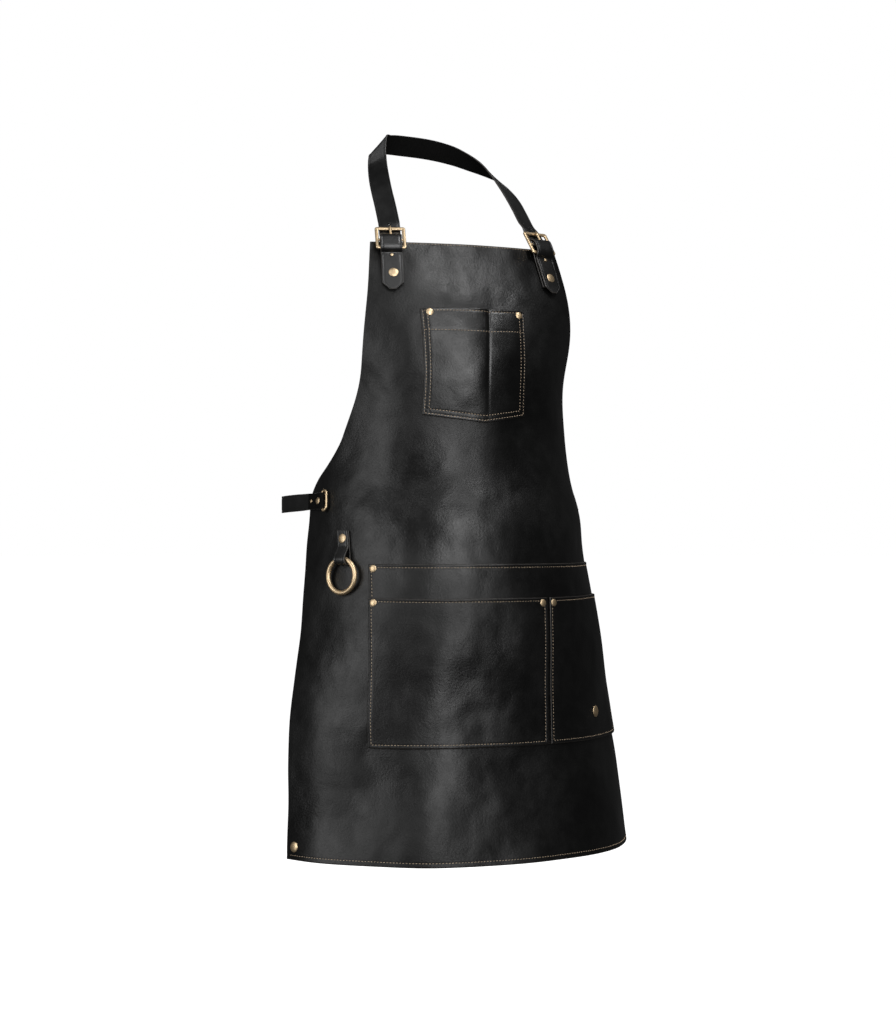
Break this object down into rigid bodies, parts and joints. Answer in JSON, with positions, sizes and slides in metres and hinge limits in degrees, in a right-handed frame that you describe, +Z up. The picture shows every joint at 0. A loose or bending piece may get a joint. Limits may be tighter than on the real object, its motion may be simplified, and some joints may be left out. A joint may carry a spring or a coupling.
{
  "type": "leather work apron",
  "caption": "Black leather bib apron held in its worn shape, with a buckled neck strap, a chest pocket, wide waist pockets, brass rivets, a waist strap and a hanging tool ring.",
  "frame": {"origin": "the middle of the neck strap's inner face at the back of the neck, where the apron hangs", "axes": "+Z up, the wearer faces -Y, the tool ring is on the -X side"},
  "size_m": [0.5039, 0.4137, 0.9908],
  "materials": {
    "leather": "soft black pull-up leather, half gloss",
    "brass": "warm satin brass",
    "thread": "waxed tan thread"
  },
  "bodies": {
    "apron": {"apron_body": "leather", "chest_pocket": "leather", "pocket_back": "leather", "pocket_left": "leather", "pocket_right": "leather", "neck_strap": "leather", "neck_tab_left": "leather", "neck_tab_right": "leather", "ring_loop": "leather", "waist_strap": "leather", "neck_buckle_left": "brass", "neck_buckle_right": "brass", "prong_left": "brass", "prong_right": "brass", "waist_frame": "brass", "chest_rivet_left": "brass", "chest_rivet_right": "brass", "band_rivet": "brass", "pocket_rivet_left": "brass", "pocket_rivet_middle": "brass", "pocket_rivet_right": "brass", "pocket_stud": "brass", "corner_rivet": "brass", "ring_loop_rivet": "brass", "waist_rivet": "brass", "waist_stud": "brass", "waist_rivet_far": "brass", "tail_rivet_left": "brass", "tail_rivet_right": "brass", "tail_stud_left": "brass", "tail_stud_right": "brass"},
    "ring": {"tool_ring": "brass"}
  },
  "joints": [
    {"name": "ring_swing", "type": "hinge", "parent": "apron", "child": "ring", "pos_m": [-0.18302, -0.15924, -0.57978], "axis": [-0.5122, 0.8589, 0], "range_deg": [0, 75]}
  ]
}
